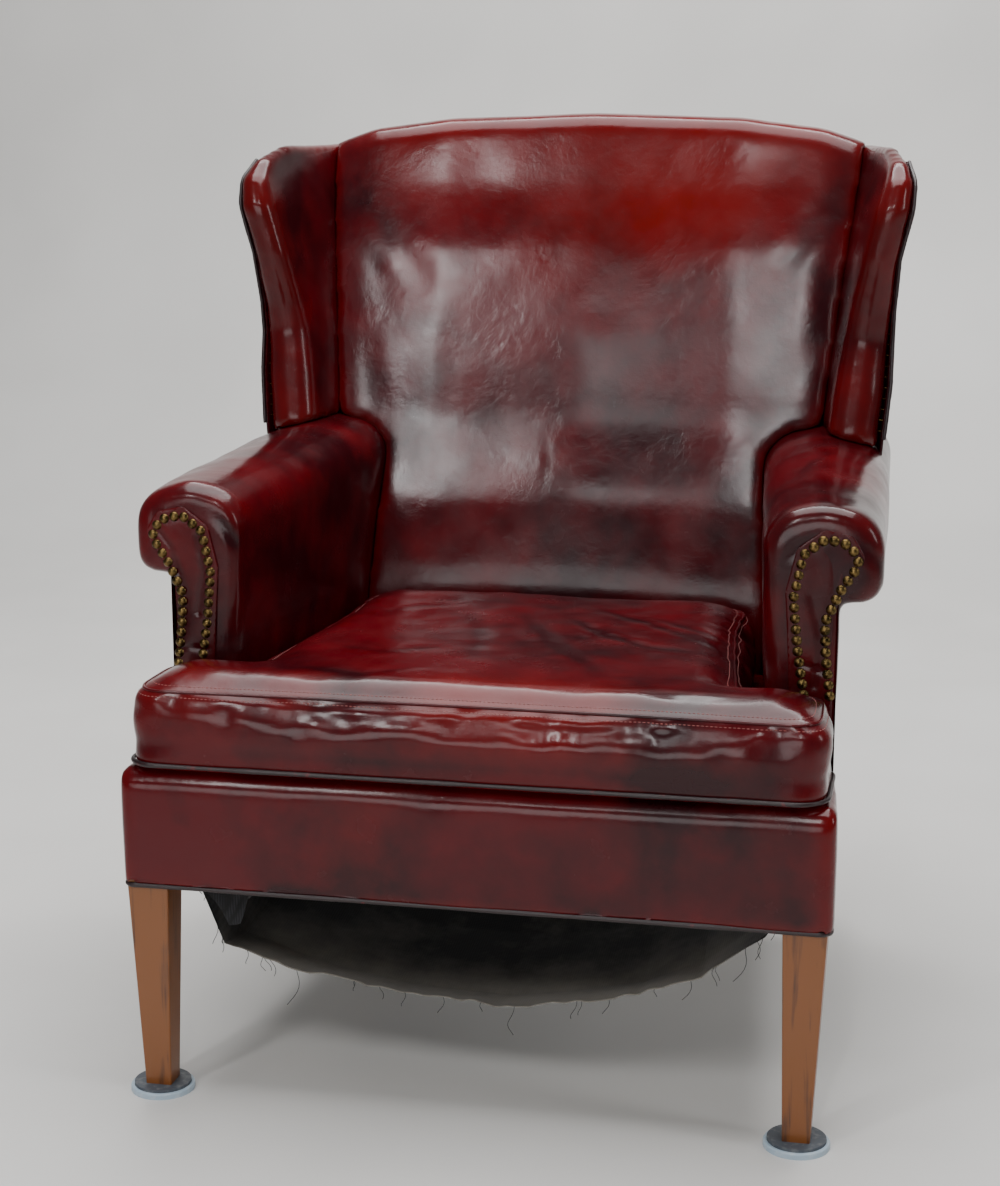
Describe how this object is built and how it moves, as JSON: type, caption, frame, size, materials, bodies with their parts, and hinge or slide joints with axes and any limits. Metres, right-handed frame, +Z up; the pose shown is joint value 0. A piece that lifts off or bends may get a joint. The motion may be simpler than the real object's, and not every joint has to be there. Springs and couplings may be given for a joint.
{
  "type": "wing armchair",
  "caption": "Leather wing armchair with rolled arms, a loose T-shaped seat cushion, a tight crowned back, domed nails and square tapered legs on sliders.",
  "frame": {"origin": "on the floor, at the middle of the chair's bounding box", "axes": "+X to the right as seen from the front, +Y to the back, +Z up"},
  "size_m": [0.8426, 0.8479, 1.054],
  "materials": {
    "leather": "glossy aged oxblood leather, mottled",
    "leather_pad": "glossy aged oxblood leather over filling",
    "leather_welt": "dark rubbed leather cord",
    "stained_wood": "orange-brown stained and varnished",
    "frame_wood": "bare sawn beech",
    "antique_brass": "antiqued brass, domed",
    "steel": "plain steel wire and screws",
    "hessian": "jute hessian",
    "webbing": "woven elastic webbing",
    "cambric": "black cambric dust cloth",
    "wadding": "cushion filling in its case",
    "slider_plastic": "pale blue-grey moulded plastic",
    "slider_rubber": "dark slate rubber"
  },
  "bodies": {
    "chair": {"arm_board_left": "frame_wood", "arm_board_right": "frame_wood", "arm_facing_left": "leather", "arm_facing_right": "leather", "arm_nails_left": "antique_brass", "arm_nails_right": "antique_brass", "arm_pad_left": "leather_pad", "arm_pad_right": "leather_pad", "arm_slat_left": "frame_wood", "arm_slat_right": "frame_wood", "arm_stump_left": "frame_wood", "arm_stump_right": "frame_wood", "back_pad": "leather_pad", "back_post_left": "stained_wood", "back_post_right": "stained_wood", "back_rail": "frame_wood", "back_webbing": "webbing", "base_welt": "leather_welt", "corner_blocks": "frame_wood", "crest_rail": "frame_wood", "deck_pad": "leather_pad", "dust_cover": "cambric", "dust_tacks": "steel", "front_cover": "leather", "front_leg_left": "stained_wood", "front_leg_right": "stained_wood", "front_rail": "frame_wood", "lower_back_rail": "frame_wood", "outside_back": "leather", "rail_dowels": "frame_wood", "seat_hessian": "hessian", "seat_springs": "steel", "side_panel_left": "leather", "side_panel_right": "leather", "side_rail_left": "frame_wood", "side_rail_right": "frame_wood", "slider_bases": "slider_plastic", "slider_pads": "slider_rubber", "slider_screws": "steel", "wing_nails_left": "antique_brass", "wing_nails_right": "antique_brass", "wing_pad_left": "leather_pad", "wing_pad_right": "leather_pad", "wing_panel_left": "leather", "wing_panel_right": "leather", "wing_post_left": "frame_wood", "wing_post_right": "frame_wood", "wing_rail_left": "frame_wood", "wing_rail_right": "frame_wood", "wing_welt_left": "leather_welt", "wing_welt_right": "leather_welt"},
    "cushion": {"cushion": "leather_pad", "cushion_core": "wadding", "cushion_welt": "leather_welt"}
  },
  "joints": [
    {"name": "cushion_lift", "type": "slide", "parent": "chair", "child": "cushion", "axis": [0, 0, 1], "range_m": [0, 0.32]}
  ]
}
